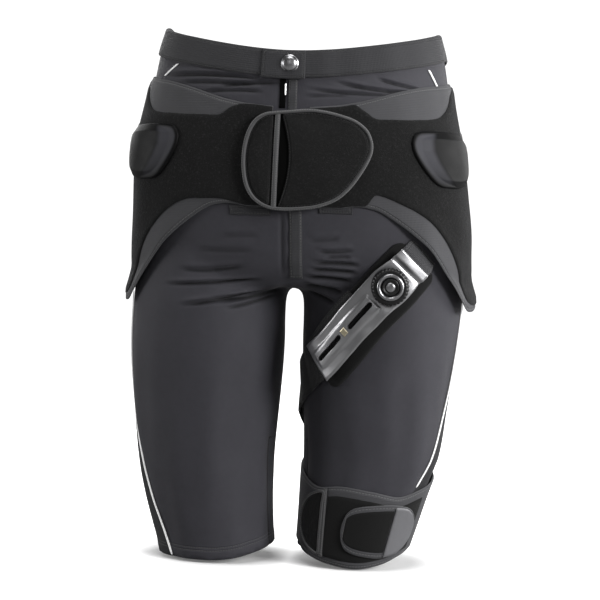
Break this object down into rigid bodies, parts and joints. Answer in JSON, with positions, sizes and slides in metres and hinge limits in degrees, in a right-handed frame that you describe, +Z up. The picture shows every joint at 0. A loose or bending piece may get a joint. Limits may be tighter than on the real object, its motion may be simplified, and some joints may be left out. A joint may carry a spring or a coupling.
{
  "type": "hip abduction brace with base shorts",
  "caption": "Worn hip brace: shorts carrying a wide hip belt with front closure and hip pads, a spiral thigh strap with a dial tensioner plate, and a knee cuff.",
  "frame": {"origin": "middle of the waist, at the height of the waistband's front upper edge, inside the waist opening", "axes": "+Z up the wearer, -Y the way the wearer faces, +X the wearer's left"},
  "size_m": [0.3725, 0.2569, 0.5594],
  "materials": {
    "knit": "stretch knit",
    "band": "folded knit band",
    "plush": "loop plush",
    "laminate": "foam laminate with a smooth cloth face",
    "binding": "woven edge tape",
    "reflective": "reflective tape",
    "moulded": "satin moulded grip",
    "webbing": "woven webbing",
    "gunmetal": "dark gloss",
    "rubber": "matt",
    "steel": "satin",
    "brass": "polished"
  },
  "bodies": {
    "brace": {"shorts_seat": "knit", "shorts_leg_left": "knit", "shorts_leg_right": "knit", "piping_left": "reflective", "piping_right": "reflective", "waistband": "band", "waistband_tab": "band", "snap_cap": "steel", "fly": "knit", "belt_base_left": "laminate", "belt_base_right": "laminate", "belt_plush_left": "plush", "belt_plush_right": "plush", "closure_binding": "binding", "closure_base": "laminate", "closure_flap_left": "plush", "closure_flap_right": "plush", "closure_seam_band": "binding", "hip_pad_left": "moulded", "hip_pad_right": "moulded", "hip_strap_left": "webbing", "hip_strap_right": "webbing", "thigh_backing": "plush", "thigh_strap": "webbing", "belt_webbing": "webbing", "tension_plate": "gunmetal", "tension_marker": "brass", "dial_base": "gunmetal", "knee_cuff": "laminate", "cuff_plush": "plush", "cuff_seam_band": "binding", "cuff_flap": "plush", "cuff_tab": "laminate", "cuff_tab_grip": "moulded"},
    "hub": {"dial_hub": "rubber"},
    "knob": {"dial_grip": "rubber", "dial_bezel": "steel"}
  },
  "joints": [
    {"name": "dial_pull", "type": "slide", "parent": "brace", "child": "hub", "axis": [0.1187, -0.9921, -0.0396], "range_m": [0, 0.003]},
    {"name": "dial_turn", "type": "hinge", "parent": "hub", "child": "knob", "pos_m": [0.10269, -0.08371, -0.23308], "axis": [0.1187, -0.9921, -0.0396], "continuous": true}
  ]
}
